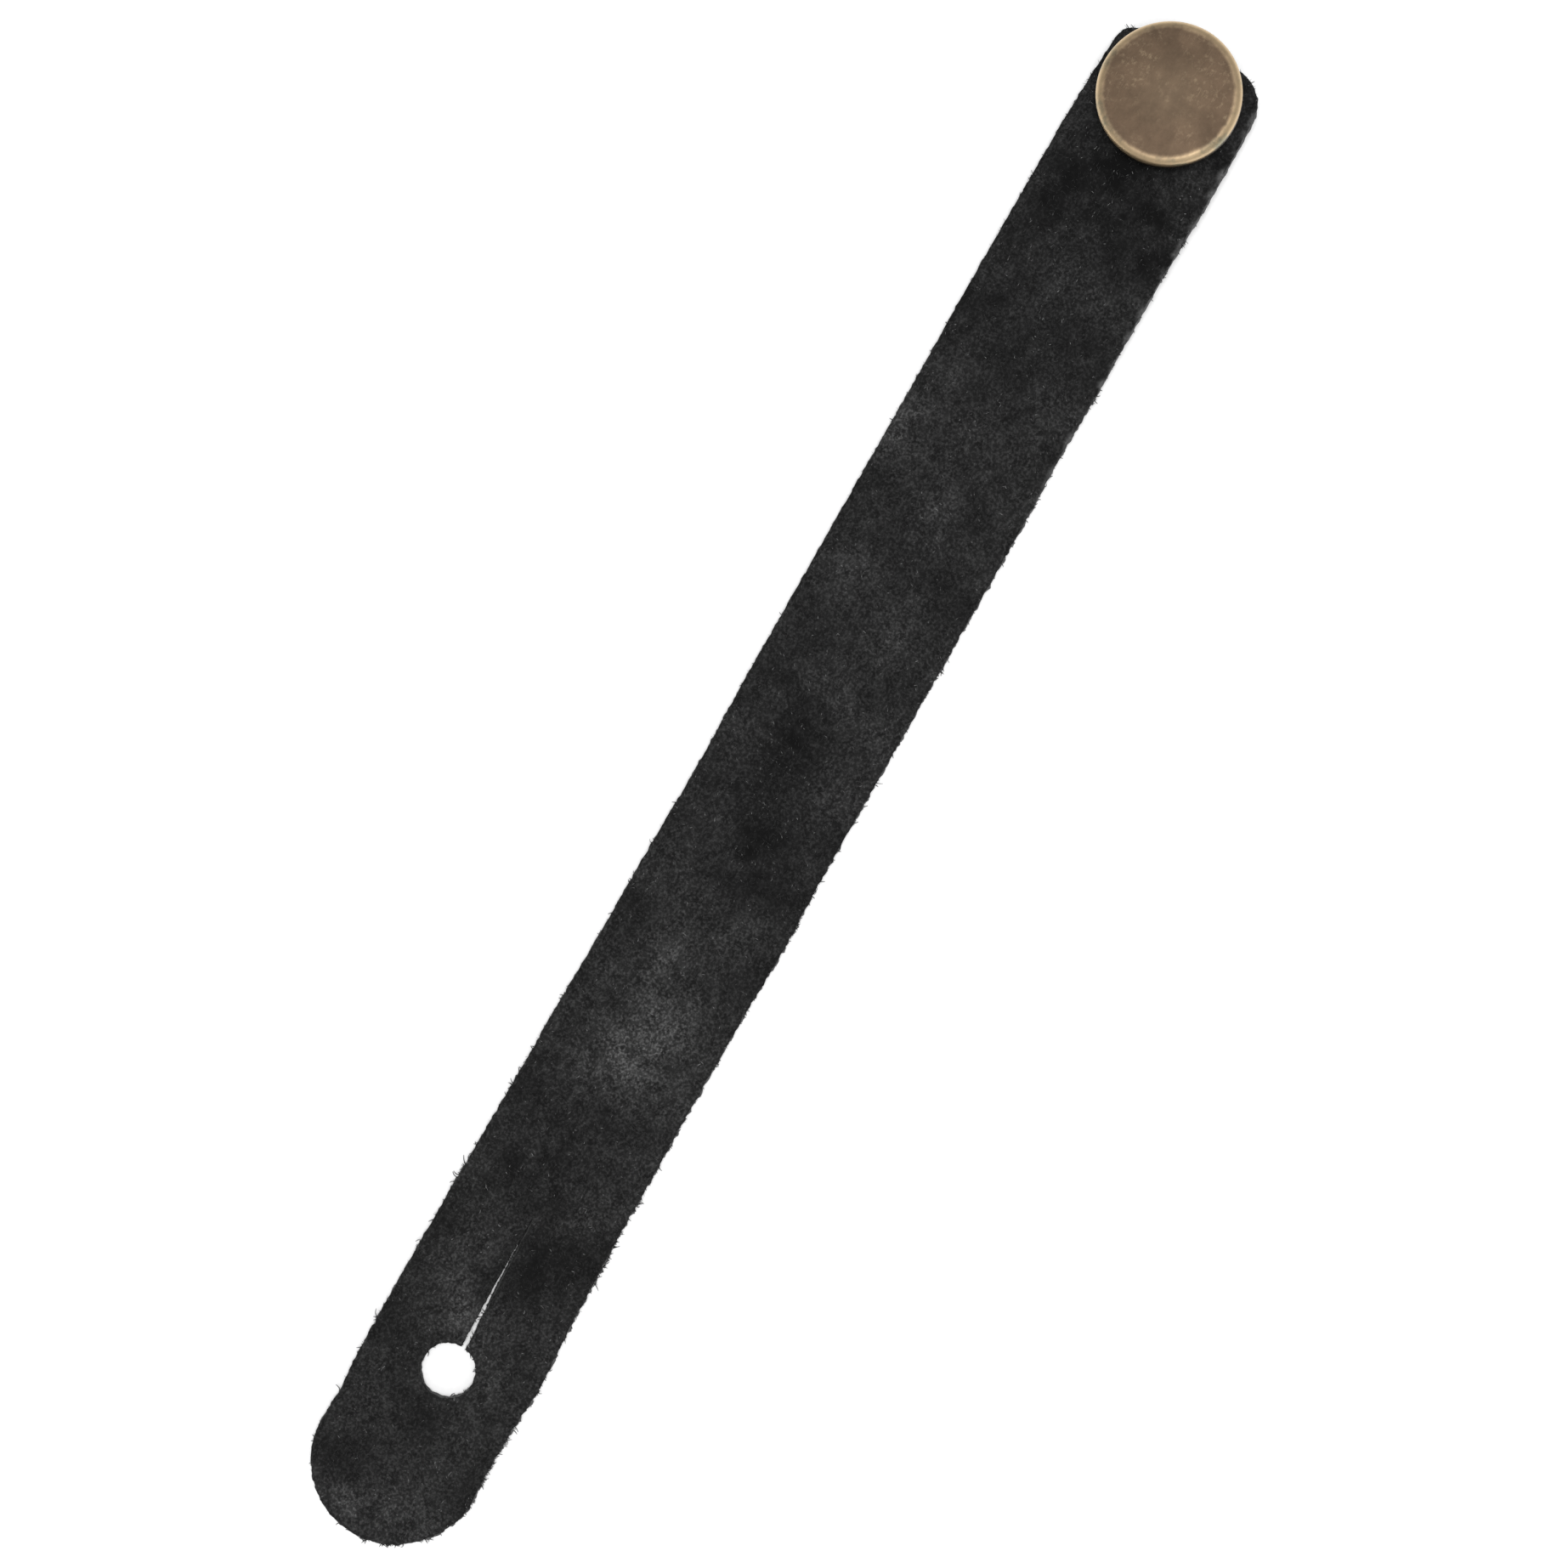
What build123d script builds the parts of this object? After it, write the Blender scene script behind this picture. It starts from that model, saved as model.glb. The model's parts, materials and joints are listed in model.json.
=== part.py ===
"""Button-on suede strap tie for a stringed instrument's headstock.

A flat suede strap carries a swivelling stud button at one end and a keyhole buttonhole at the other.
The strap lies along X with its napped face up and the button towards +X.
The tack behind the button end is proud of the leather, so that end rises off the surface and leans to one side.
The leather is one cut piece. Here it is seven lengths that meet at six bend lines, so that it can fold.
The origin is at the bottom centre of the object's box. Sizes are in millimetres.
"""
from build123d import *
from math import cos, radians, sin
import os

# Driving dimensions
strap_length = 200.0        # slot tip to the middle of the button end
half_width = 9.8
thickness = 1.8
button_diameter = 17.0
button_from_end = 6.9       # stud axis to the middle of the strap's button end
stud_side = -0.5            # the tack was set a little to one side of the strap's middle
hole_from_tip = 22.2        # buttonhole centre to the slot tip

# Strap outline
end_slant = 1.2             # how much longer the -Y edge is than the +Y edge, at the button end
slack_corner_radius = 4.5   # the button end's -Y corner, cut rounder than the other
tight_corner_radius = 2.6
tip_radius = 10.0
bulge_half_width = 10.2     # the strap is a little wider where the slit spreads it
bulge_reach = 50.0          # from the tip's shoulder to where the bulge has died out

# Buttonhole
hole_radius = 3.2
hole_side = -0.15           # the punched hole sits a little to one side
slit_length = 17.0
slit_mouth = 0.44           # slit width where it meets the hole
slit_end_width = 0.12
slit_mouth_side = -0.42
slit_end_side = -0.04

# The button end stands on the tack and leans until its +Y edge comes down to the surface
lift = 0.87                 # underside of the leather above the tack's base
lean = 8.0                  # degrees about X
rise_from_stud = 13.0       # stud axis to the top of the rise
rise_run = 33.0
rise_steps = 8              # straight stretches that make up the twisting rise

# Stations along X, worked out from the sizes above
button_radius = button_diameter / 2
overall_length = strap_length - button_from_end + button_radius
tip_x = -overall_length / 2
end_x = tip_x + strap_length
stud_x = end_x - button_from_end
hole_x = tip_x + hole_from_tip
shoulder_x = tip_x + tip_radius
slit_end_x = hole_x + hole_radius + slit_length
rise_end = stud_x - rise_from_stud
rise_start = rise_end - rise_run

# Bend lines: evenly spaced about the point midway between button and buttonhole
bend_count = 6
bend_spacing = 12.5
bend_gap = 0.1              # cut between neighbouring lengths
first_bend_x = (stud_x + hole_x) / 2 + (bend_count - 1) / 2 * bend_spacing
bend_lines = [first_bend_x - i * bend_spacing for i in range(bend_count)]

# Stud button, stacked up from the strap's face, with heights from the tack's base
face_z = lift + thickness
sheet = 0.35                # drawn sheet metal
neck_radius = 3.0
neck_length = 2.8
running_clearance = 0.08
cap_bottom = face_z + neck_length
cap_height = 2.9
cap_shoulder = 0.95
cap_roll = 0.55             # outside radius of the rolled lower edge
cap_dome = 0.3
cap_top = cap_bottom + cap_height
lip_radius = 6.9
ring_bottom = cap_bottom + sheet
ring_thickness = 0.4
ring_radius = 8.0
collar_depth = 0.3
collar_wall = 0.4
brim_radius = 4.6
brim_bottom = ring_bottom + ring_thickness + 0.05
brim_top = brim_bottom + 0.4
brim_clearance = 0.1
insert_radius = 7.95
insert_chamfer = 0.65
stem_wall = 0.4
stem_round = 0.6

# Tack that holds the stud on from behind
tack_radius = 4.6
tack_height = 1.32
tack_edge = 0.5
tack_lip_radius = 3.5
nail_head_radius = 4.15
nail_head_thickness = 0.5
nail_radius = 1.25
nail_hole_radius = 1.3
clinch_radius = 2.3
clinch_height = 1.1
barb_depth = 0.15
barb_spacing = 0.5
recess_radius = 4.7         # the tack head beds into the back of the suede
recess_depth = 0.5

# The leaning end: the tack's rim rests on the surface, and everything there is placed from its base
lean_cos = cos(radians(lean))
lean_sin = sin(radians(lean))
tack_rest_radius = tack_radius - tack_edge
stud_base_z = tack_rest_radius * lean_sin + tack_edge * (1 - lean_cos)
stud_base = (stud_x, stud_side * lean_cos, stud_base_z)
stud_up = (0, lean_sin, lean_cos)
stud_plane = Plane(stud_base, x_dir=(1, 0, 0), z_dir=stud_up)
stud_section = Plane(stud_base, x_dir=(1, 0, 0), z_dir=(0, -lean_cos, lean_sin))
stud_axis = Axis(stud_base, stud_up)
end_shift = lift * lean_sin
end_rise = stud_base_z + lift * lean_cos + stud_side * lean_sin
end_plane = Plane((0, end_shift, end_rise), x_dir=(1, 0, 0), z_dir=stud_up)

above = 20.0                # taller than anything on the strap, for cuts that go right through
os.makedirs("parts", exist_ok=True)


def finish(part, label):
    """Labels a finished piece and writes its file."""
    part.label = label
    export_step(part, f"parts/{label}.step")


def rise_plane(progress):
    """The plane across the strap's underside, from the start of the rise (0) to its top (1)."""
    share = progress * progress * (3 - 2 * progress)
    angle = radians(lean * share)
    return Plane(
        (rise_start + progress * rise_run, end_shift * share, end_rise * share),
        x_dir=(0, cos(angle), -sin(angle)),
        z_dir=(1, 0, 0),
    )


# Strap: cut into lengths at the bend lines
strap_names = ["strap_button_end", *[f"strap_length_{i}" for i in range(1, bend_count)], "strap_slot_end"]
cuts = [rise_start + bend_gap / 2, *bend_lines, tip_x - 1]

for name, high_x, low_x in zip(strap_names, cuts, cuts[1:]):
    with BuildPart() as strap:
        # The flat part: round at the slot tip, and only the stretch between this length's two bend lines
        with BuildSketch():
            with BuildLine():
                bulge_end = shoulder_x + bulge_reach
                ThreePointArc((shoulder_x, -tip_radius), (tip_x, 0), (shoulder_x, tip_radius))
                for side in (-1, 1):
                    ThreePointArc(
                        (shoulder_x, side * tip_radius),
                        (hole_x + hole_radius, side * bulge_half_width),
                        (bulge_end, side * half_width),
                    )
                Polyline(
                    (bulge_end, -half_width),
                    (rise_start, -half_width),
                    (rise_start, half_width),
                    (bulge_end, half_width),
                )
            make_face()
            with Locations(((low_x + high_x) / 2, 0)):
                Rectangle(high_x - low_x - bend_gap, 4 * half_width, mode=Mode.INTERSECT)
        extrude(amount=thickness)

        if name == "strap_slot_end":
            with BuildSketch():
                with Locations((hole_x, hole_side)):
                    Circle(hole_radius)
                Polygon(
                    (hole_x, slit_mouth_side - slit_mouth / 2),
                    (slit_end_x, slit_end_side - slit_end_width / 2),
                    (slit_end_x, slit_end_side + slit_end_width / 2),
                    (hole_x, slit_mouth_side + slit_mouth / 2),
                    align=None,
                )
            extrude(amount=above, mode=Mode.SUBTRACT)

        if name == "strap_button_end":
            # The rise, which twists as it climbs
            for step in range(rise_steps):
                for end in (step, step + 1):
                    with BuildSketch(rise_plane(end / rise_steps)):
                        Rectangle(2 * half_width, thickness, align=(Align.CENTER, Align.MIN))
                loft()
            # The leaning end, square with eased corners
            with BuildSketch(end_plane):
                with BuildLine():
                    Polyline(
                        (rise_end, -half_width),
                        (end_x + end_slant / 2, -half_width),
                        (end_x - end_slant / 2, half_width),
                        (rise_end, half_width),
                        close=True,
                    )
                make_face()
                for row, radius in ((0, slack_corner_radius), (-1, tight_corner_radius)):
                    end_corner = vertices().group_by(Axis.Y)[row].sort_by(Axis.X)[-1]
                    fillet(end_corner, radius)
            extrude(amount=thickness)
            with BuildSketch(stud_plane):
                Circle(nail_hole_radius)
            extrude(amount=above, mode=Mode.SUBTRACT)
            with BuildSketch(stud_plane):
                Circle(recess_radius)
            extrude(amount=lift + recess_depth, mode=Mode.SUBTRACT)
    finish(strap.part, name)

# Button cap: a drawn brass shell, slightly domed, with its edge rolled in under the base ring
with BuildPart() as cap:
    for inset, mode in ((0, Mode.ADD), (sheet, Mode.SUBTRACT)):
        bottom = cap_bottom + inset
        face_edge = cap_top - cap_dome - inset
        with BuildSketch(stud_section):
            with BuildLine():
                under = Line((0, bottom), (button_radius - cap_roll, bottom))
                roll = TangentArc(under @ 1, (button_radius - inset, cap_bottom + cap_roll), tangent=(1, 0))
                side = Line(roll @ 1, (button_radius - inset, cap_top - cap_dome - cap_shoulder))
                turn = TangentArc(side @ 1, (button_radius - cap_shoulder, face_edge), tangent=(0, 1))
                TangentArc((0, face_edge + cap_dome), turn @ 1, tangent=(1, 0))
                Line((0, face_edge + cap_dome), (0, bottom))
            make_face()
        revolve(axis=stud_axis, mode=mode)
    with BuildSketch(stud_plane.offset(cap_bottom)):
        Circle(lip_radius)
    extrude(amount=sheet, mode=Mode.SUBTRACT)
finish(cap.part, "button_cap")

# Base ring: the plate that closes the cap from below and turns on the neck
ring_hole = neck_radius + running_clearance
with BuildPart() as ring:
    with BuildSketch(stud_section):
        with BuildLine():
            Polyline(
                (ring_hole, ring_bottom - collar_depth),
                (ring_hole + collar_wall, ring_bottom - collar_depth),
                (ring_hole + collar_wall, ring_bottom),
                (ring_radius - 0.3, ring_bottom),
                (ring_radius, ring_bottom + 0.3),
                (ring_radius, ring_bottom + ring_thickness),
                (ring_hole, ring_bottom + ring_thickness),
                close=True,
            )
        make_face()
    revolve(axis=stud_axis)
finish(ring.part, "button_base_ring")

# Insert: a moulded disc that fills the cap and leaves a pocket for the neck's brim
insert_bottom = ring_bottom + ring_thickness
insert_top = cap_top - cap_dome - sheet
pocket_radius = brim_radius + brim_clearance
pocket_top = brim_top + brim_clearance
with BuildPart() as insert:
    with BuildSketch(stud_section):
        with BuildLine():
            Polyline(
                (0, pocket_top),
                (pocket_radius, pocket_top),
                (pocket_radius, insert_bottom),
                (insert_radius, insert_bottom),
                (insert_radius, insert_top - insert_chamfer),
                (insert_radius - insert_chamfer, insert_top),
                (0, insert_top),
                close=True,
            )
        make_face()
    revolve(axis=stud_axis)
finish(insert.part, "button_insert")

# Neck: a drawn cup that stands on the suede, with a brim held inside the button
with BuildPart() as neck:
    with BuildSketch(stud_section):
        with BuildLine():
            Polyline(
                (nail_hole_radius, face_z),
                (neck_radius, face_z),
                (neck_radius, brim_bottom),
                (brim_radius, brim_bottom),
                (brim_radius, brim_top),
                (neck_radius - stem_wall, brim_top),
                (neck_radius - stem_wall, face_z + stem_wall),
                (nail_hole_radius, face_z + stem_wall),
                close=True,
            )
        make_face()
    revolve(axis=stud_axis)
    foot = edges().filter_by(GeomType.CIRCLE).group_by(stud_axis)[0].sort_by(SortBy.RADIUS)[-1]
    fillet(foot, stem_round)
finish(neck.part, "button_neck")

# Nail: its head is behind the strap, its barbed stem goes through, and its tip is clinched in the neck
nail_head_bottom = sheet
nail_head_top = nail_head_bottom + nail_head_thickness
clinch_bottom = face_z + stem_wall
clinch_top = clinch_bottom + clinch_height
with BuildPart() as nail:
    with BuildSketch(stud_section):
        with BuildLine():
            Polyline(
                (0, nail_head_bottom),
                (nail_head_radius, nail_head_bottom),
                (nail_head_radius, nail_head_top),
                (nail_radius, nail_head_top),
                (nail_radius, clinch_bottom),
                (clinch_radius, clinch_bottom),
            )
            TangentArc((0, clinch_top), (clinch_radius, clinch_bottom), tangent=(1, 0))
            Line((0, clinch_top), (0, nail_head_bottom))
        make_face()
    revolve(axis=stud_axis)
    barb_z = nail_head_top + 2 * barb_spacing
    while barb_z < face_z:
        with BuildSketch(stud_section):
            with BuildLine():
                Polyline(
                    (nail_radius, barb_z),
                    (nail_radius - barb_depth, barb_z),
                    (nail_radius, barb_z + 0.7 * barb_spacing),
                    close=True,
                )
            make_face()
        revolve(axis=stud_axis, mode=Mode.SUBTRACT)
        barb_z += barb_spacing
finish(nail.part, "tack_nail")

# Tack cap: a small brass shell crimped over the nail's head
with BuildPart() as tack:
    with BuildSketch(stud_section):
        with BuildLine():
            base = Line((0, 0), (tack_radius - tack_edge, 0))
            corner = TangentArc(base @ 1, (tack_radius, tack_edge), tangent=(1, 0))
            Polyline(corner @ 1, (tack_radius, tack_height), (0, tack_height), (0, 0))
        make_face()
    revolve(axis=stud_axis)
    with BuildSketch(stud_plane.offset(sheet)):
        Circle(nail_head_radius)
    extrude(amount=nail_head_thickness, mode=Mode.SUBTRACT)
    with BuildSketch(stud_plane.offset(nail_head_top)):
        Circle(tack_lip_radius)
    extrude(amount=tack_height, mode=Mode.SUBTRACT)
finish(tack.part, "tack_cap")
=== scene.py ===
"""Looks of a suede strap tie with a swivelling brass button stud.

The strap is one cut piece of split leather, napped on both faces. It is made here as one shell and parted
at the middle of each of its lengths, so that each part spans one joint of the frame. Shapes are
worked out in millimetres, in the frame's own axes, and turned to metres when a mesh is finished.
"""
import json
import math
import random

import bmesh
import bpy
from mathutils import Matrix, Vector, noise


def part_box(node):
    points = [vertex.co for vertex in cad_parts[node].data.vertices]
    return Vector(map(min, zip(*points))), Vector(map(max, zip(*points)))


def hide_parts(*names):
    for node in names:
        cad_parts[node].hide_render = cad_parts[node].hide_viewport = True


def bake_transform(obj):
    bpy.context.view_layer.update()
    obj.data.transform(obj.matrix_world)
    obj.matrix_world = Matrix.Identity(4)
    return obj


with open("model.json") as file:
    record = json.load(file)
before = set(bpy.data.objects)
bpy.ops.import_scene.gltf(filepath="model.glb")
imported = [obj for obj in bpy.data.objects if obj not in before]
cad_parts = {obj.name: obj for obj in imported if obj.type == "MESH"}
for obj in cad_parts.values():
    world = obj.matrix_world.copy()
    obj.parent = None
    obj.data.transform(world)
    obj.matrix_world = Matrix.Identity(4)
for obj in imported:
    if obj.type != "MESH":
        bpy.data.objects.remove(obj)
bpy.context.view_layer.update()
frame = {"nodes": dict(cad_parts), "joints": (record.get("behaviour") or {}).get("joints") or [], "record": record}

MM = 0.001
ACROSS = Vector((0, 1, 0))
ALONG = Vector((1, 0, 0))
UP = Vector((0, 0, 1))


# ------------------------------------------------------------------ places, from the frame
def box_mm(node):
    """A CAD node's lowest and highest corners, in millimetres."""
    return [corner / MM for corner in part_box(node)]


joints = {joint["name"]: joint for joint in frame["joints"]}
mounts = {mount["name"]: mount for mount in frame["record"]["mounts"]}
swivel = joints["button_swivel"]
bends = sorted((j for name, j in joints.items() if name.startswith("bend")), key=lambda j: j["pos_m"][0])
bend_xs = [bend["pos_m"][0] / MM for bend in bends]
half_spacing = (bend_xs[1] - bend_xs[0]) / 2

stud_up = Vector(swivel["axis"]).normalized()
stud_point = Vector(swivel["pos_m"]) / MM
lean = math.atan2(stud_up.y, stud_up.z)
hole = Vector(mounts["buttonhole"]["pos_m"]) / MM
hole_radius = mounts["buttonhole"]["dims"]["r_mm"]
thickness = mounts["buttonhole"]["dims"]["length_mm"]
bodies = frame["record"]["behaviour"]["bodies"]

slot_low, slot_high = box_mm("strap_slot_end")
_, end_high = box_mm("strap_button_end")
tip_x = slot_low.x
bulge_half_width = slot_high.y
half_width = box_mm("strap_length_3")[1].y

# ------------------------------------------------------------------ the strap's own sizes, in millimetres
TIP_RADIUS = 10.0
BULGE_REACH = 50.0          # from the tip's shoulder to where the strap has its even width
END_SLANT = 1.2
CORNER_RADII = {-1: 4.5, 1: 2.6}    # the button end's corners, by side
SLIT_LENGTH = 17.0
SLIT_MOUTH = 0.56
SLIT_MOUTH_Y = -0.42
SLIT_END_Y = -0.04
SLIT_END_WIDTH = 0.12
SLIT_EDGE_REACH = 1.0       # a cut edge this near the middle line, past the hole, is the slit's
KNIFE_LEAN = 0.36           # how far the cut has drifted across by the back of the leather
KNIFE_LEAN_RUN = 9.5        # the knife leaned more and more over this much of the slit
KNIFE_LEAN_WIDTH = 1.5
KNIFE_FADE = (1, 6)         # past the slit's end the drift dies out between these distances
RISE_FROM_STUD = 13.0
RISE_RUN = 33.0
BED_RISE = 0.12             # the leather swells round the neck that clamps it
BED_RADIUS = 5.4
BED_REACH = 0.9

# ------------------------------------------------------------------ the strap's mesh, in millimetres
OUTLINE_STEP = 0.4
GRID_STEPS = 30             # mesh rows between two seams, about 0.4 mm each
WALL_ROWS = 4
EDGE_TURN = 0.09            # the cut edge's worn corner turns over in two narrow bands
EDGE_EASE = 0.17
EDGE_DROP = 0.26
EASE_DROP = 0.07
SAME_CORNER = 0.01          # corners nearer than this are joined
ON_CUT = 0.002              # a corner nearer than this to a cutting plane lies on it
OVERHANG = 2                # the end parts are cut from stretches this much longer than the strap
FLAT_ENOUGH = 0.5           # a normal that stands up by more than this is on a face, not on a cut edge

# ------------------------------------------------------------------ the nap and cut edges, in millimetres
TUFT = 0.8                  # size of one tuft of nap
TUFT_LOSS = 0.8             # how fast each finer octave of tufts weakens
TUFT_STEP = 2.1             # and how many times smaller it is
TUFT_OCTAVES = 3
NAP_RISE = 0.05
BACK_NAP = 0.3              # how much of its height the back's nap keeps, pressed on what it lies on
RAG_ROUGH = 0.42            # how ragged the -Y edge was cut, clear of the button
RAG_EVEN = 0.20             # and the other edges
RAG_SLIT = 0.15
RAG_ACROSS = (3, 8)         # the roughness grows outwards between these distances from the middle line
RAG_ALONG = (30, 70)        # and dies out between these places on the way to the button
RAG_CUT_IN = 0.3            # a torn edge loses more than it gains
EDGE_ONLY = 4               # the power that keeps the wander of the cut to the strap's edges
SHADED_CUT = 0.7              # painted shade: the +Y cut is drawn darker than the other one
RIM_WEAR = 0.66             # how pale the -Y rim is rubbed on the way to the button
RIM_WEAR_WIDTH = 0.9
RIM_WEAR_ALONG = (25, 50)   # the rubbing sets in between these places
RIM_WEAR_LEVEL = 0.75       # its even part, and how much it comes and goes
RIM_WEAR_DRIFT = 0.9

# ------------------------------------------------------------------ loose fibres, in millimetres
SEED = 7
FIBRE_ROOT = 0.08
FIBRE_FLOOR = 0.06          # no fibre hangs lower than this above the surface that the strap lies on
FIBRE_TAPER = 0.6           # how much of a fibre's thickness is lost by its tip
EDGE_FIBRE_RADIUS = 0.07
EDGE_FIBRE_SPANS = 4        # straight spans in each fibre
EDGE_FIBRE_CURL = 1.0
EDGE_FIBRE_STRAY = 0.6      # how far it points away from straight out
NAP_FIBRE_RADIUS = 0.026
NAP_FIBRE_SPANS = 2
NAP_FIBRE_CURL = 0.5
NAP_FIBRE_SHARE = 0.4
NAP_FIBRE_LENGTHS = (0.25, 0.6)
NAP_FIBRE_LIFTS = (0.1, 0.5)
NAP_HEADING = 0.4
NAP_HEADING_STRAY = 0.9
TUFT_SPACING = 1.9          # between the tufts of fibre that hang from a cut edge
TUFT_BOUNDS = (0.2, 0.42)   # the noise between which a tuft thickens
FUZZ_EVEN = 0.5             # fibres for each small face inside a tuft
FUZZ_ROUGH = 2.0
FUZZ_STRAY = 0.08           # and outside one
FUZZ_LENGTH = 0.32
FUZZ_LENGTH_SPREAD = 0.5
FUZZ_LONGEST = 1.2

# Where the cut edge wanders: its side, middle along, reach along, and how far out it goes.
EDGE_BUMPS = [
    (-1, -92, 4, 0.35),
    (-1, -75, 5, 0.40),
    (-1, -55, 9, -0.25),
    (-1, -17, 5, 0.25),
    (-1, 50, 6, -0.20),
    (-1, 88, 12, 0.45),
    (1, -87, 3, -0.30),
    (1, -37, 8, 0.20),
    (1, -3, 8, -0.20),
    (1, 85, 20, -0.25),
    (1, 100, 9, -0.7),
]

# Places where the nap is brushed back: middle along and across, reach along and across, and strength.
BRUSHED = [
    (-36, 0.5, 5, 5, 0.42),
    (-31, -3, 4, 3, 0.30),
    (-25, 2.5, 4, 2.5, 0.36),
    (44, 8.5, 5, 2.5, 0.30),
    (38, -1, 4, 3, 0.18),
    (20, -2, 4, 3, 0.22),
    (2, -7, 5, 2, 0.12),
    (-65, 5, 6, 3, 0.20),
    (-72, 2, 3, 3, 0.25),
    (-98, -1, 3, 7, 0.34),
    (-78, -5.5, 2.5, 2, 0.14),
    (82, 0, 14, 14, -0.15),
    (60, 4, 9, 5, -0.08),
    (8, 1, 6, 6, -0.12),
    (-7, -1, 6, 5, -0.10),
    (-52, 2, 7, 6, -0.12),
    (-60, 0, 8, 12, -0.05),
    (-84, 0, 16, 14, -0.03),
    (0, 0, 9, 14, -0.05),
    (26, 4, 4, 3, 0.10),
    (19, -5, 5, 4, -0.10),
    (29, -3, 4, 4, -0.08),
    (50, 3, 5, 4, 0.10),
]

# ------------------------------------------------------------------ colours, and patterns in millimetres
SUEDE_DARK = "#111111"
SUEDE_PALE = "#585858"
SUEDE_CUT_DARK = "#262626"
SUEDE_CUT_PALE = "#7A7A7A"
FIBRE_DARK = "#161616"
FIBRE_MID = "#2A2A2A"
FIBRE_PALE = "#989898"

PATINA_DARK = "#57493C"
PATINA_PALE = "#6B5A4A"
BARE_BRASS = "#A8967C"
WORN_EDGE_DULL = "#A29C84"
WORN_EDGE_BRIGHT = "#CFB793"
# painted shade: the colour the stud is drawn in low down, below its rim
PAINTED_SHADE_LOW = "#3B3128"

CLOUD = 8.0                 # the nap's pattern, from clouds where it was stroked to its grain
PATCH = 3.2
CLUMP = 1.4
FLECK = 0.34                # coarser than single fibres, which would be too fine to show
LINT = 0.7                  # how far along the loose fibres their colour changes
BLOTCH = 3.5                # the brass's aged patches, and where hands have worn it
HANDLED = 5.0
SCRATCH_LENGTH = 2.0
SCRATCH_WIDTH = 1 / 6
SCRATCH_TURN = 0.5          # in radians
RUBBED_RADIUS = 5.5         # the middle of the face is a little paler within this
WORN_FROM = 7.7             # the shoulder is worn bare between these distances from the stud's axis
WORN_TO = 8.95
SHADE_TO = 0.3              # painted shade: the stud is drawn darker below the rim, up to between these heights on the stud
UNSHADED_FROM = 1.3
PIT = 0.75                  # this and the next four are drawn coarser than real, to show at all
MOULD_GRAIN = 0.15
NAIL_GRAIN = 0.4
NAIL_RING = 0.12
PAPER_TOOTH = 0.4

# ------------------------------------------------------------------ camera and light, in mm and watts
SENSOR = 36.0
FRAME_WIDTH = 183.88
CAMERA_HEIGHT = 500.0
CAMERA_X = 0.69
CAMERA_Y = -0.34
CAMERA_TURN = -60.33
FLOOR_HALF = 1500
FLOOR_GAP = 0.05
NEAREST = 10
FARTHEST = 50000
WORLD_STRENGTH = 0.6
OVERHEAD_PLACE = Vector((0, 0, 1100))
OVERHEAD_SIZE = 350
OVERHEAD_POWER = 8.4
SIDE_PLACE = Vector((-450, -500, 900))
SIDE_SIZE = 800
SIDE_POWER = 1.1

# ------------------------------------------------------------------ places that follow from those sizes
end_x = end_high.x - END_SLANT / 2
rise_end = stud_point.x - RISE_FROM_STUD
rise_start = rise_end - RISE_RUN
end_rise = end_high.z - half_width * math.sin(lean) - thickness * math.cos(lean)
end_shift = end_high.y - half_width * math.cos(lean) - thickness * math.sin(lean)
end_across = Vector((0, math.cos(lean), -math.sin(lean)))
stud_side = (stud_point - Vector((stud_point.x, end_shift, end_rise))).dot(end_across)
seams = [x + half_spacing for x in bend_xs[:-1]]
part_ends = [tip_x - OVERHANG, *seams, end_x + END_SLANT + OVERHANG]


def smooth(value, low=0.0, high=1.0):
    """0 below low, 1 above high, and an even ease between."""
    share = min(max((value - low) / (high - low), 0.0), 1.0)
    return share * share * (3 - 2 * share)


def lie(point):
    """Where a point of the flat strap is once its button end stands on the tack and leans."""
    share = smooth(point.x, rise_start, rise_end)
    angle = lean * share
    across = Vector((0, math.cos(angle), -math.sin(angle)))
    out = Vector((0, math.sin(angle), math.cos(angle)))
    origin = Vector((point.x, end_shift * share, end_rise * share))
    return origin + across * point.y + out * point.z


def arc(first, middle, last, step=OUTLINE_STEP):
    """Points along the circle through three points, from first up to but not including last."""
    a, b, c = (Vector((*point, 0)) for point in (first, middle, last))
    ab, ac = b - a, c - a
    normal = ab.cross(ac)
    weighted = normal.cross(ab) * ac.length_squared + ac.cross(normal) * ab.length_squared
    to_centre = weighted / (2 * normal.length_squared)
    centre = a + to_centre
    start = math.atan2(a.y - centre.y, a.x - centre.x)
    turn = math.atan2(c.y - centre.y, c.x - centre.x) - start
    turn -= math.tau * round(turn / math.tau)
    if (turn > 0) != (normal.z > 0):
        turn += math.copysign(math.tau, normal.z)
    radius = to_centre.length
    count = max(2, round(abs(turn) * radius / step))
    angles = [start + turn * i / count for i in range(count)]
    return [(centre.x + radius * math.cos(angle), centre.y + radius * math.sin(angle)) for angle in angles]


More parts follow.
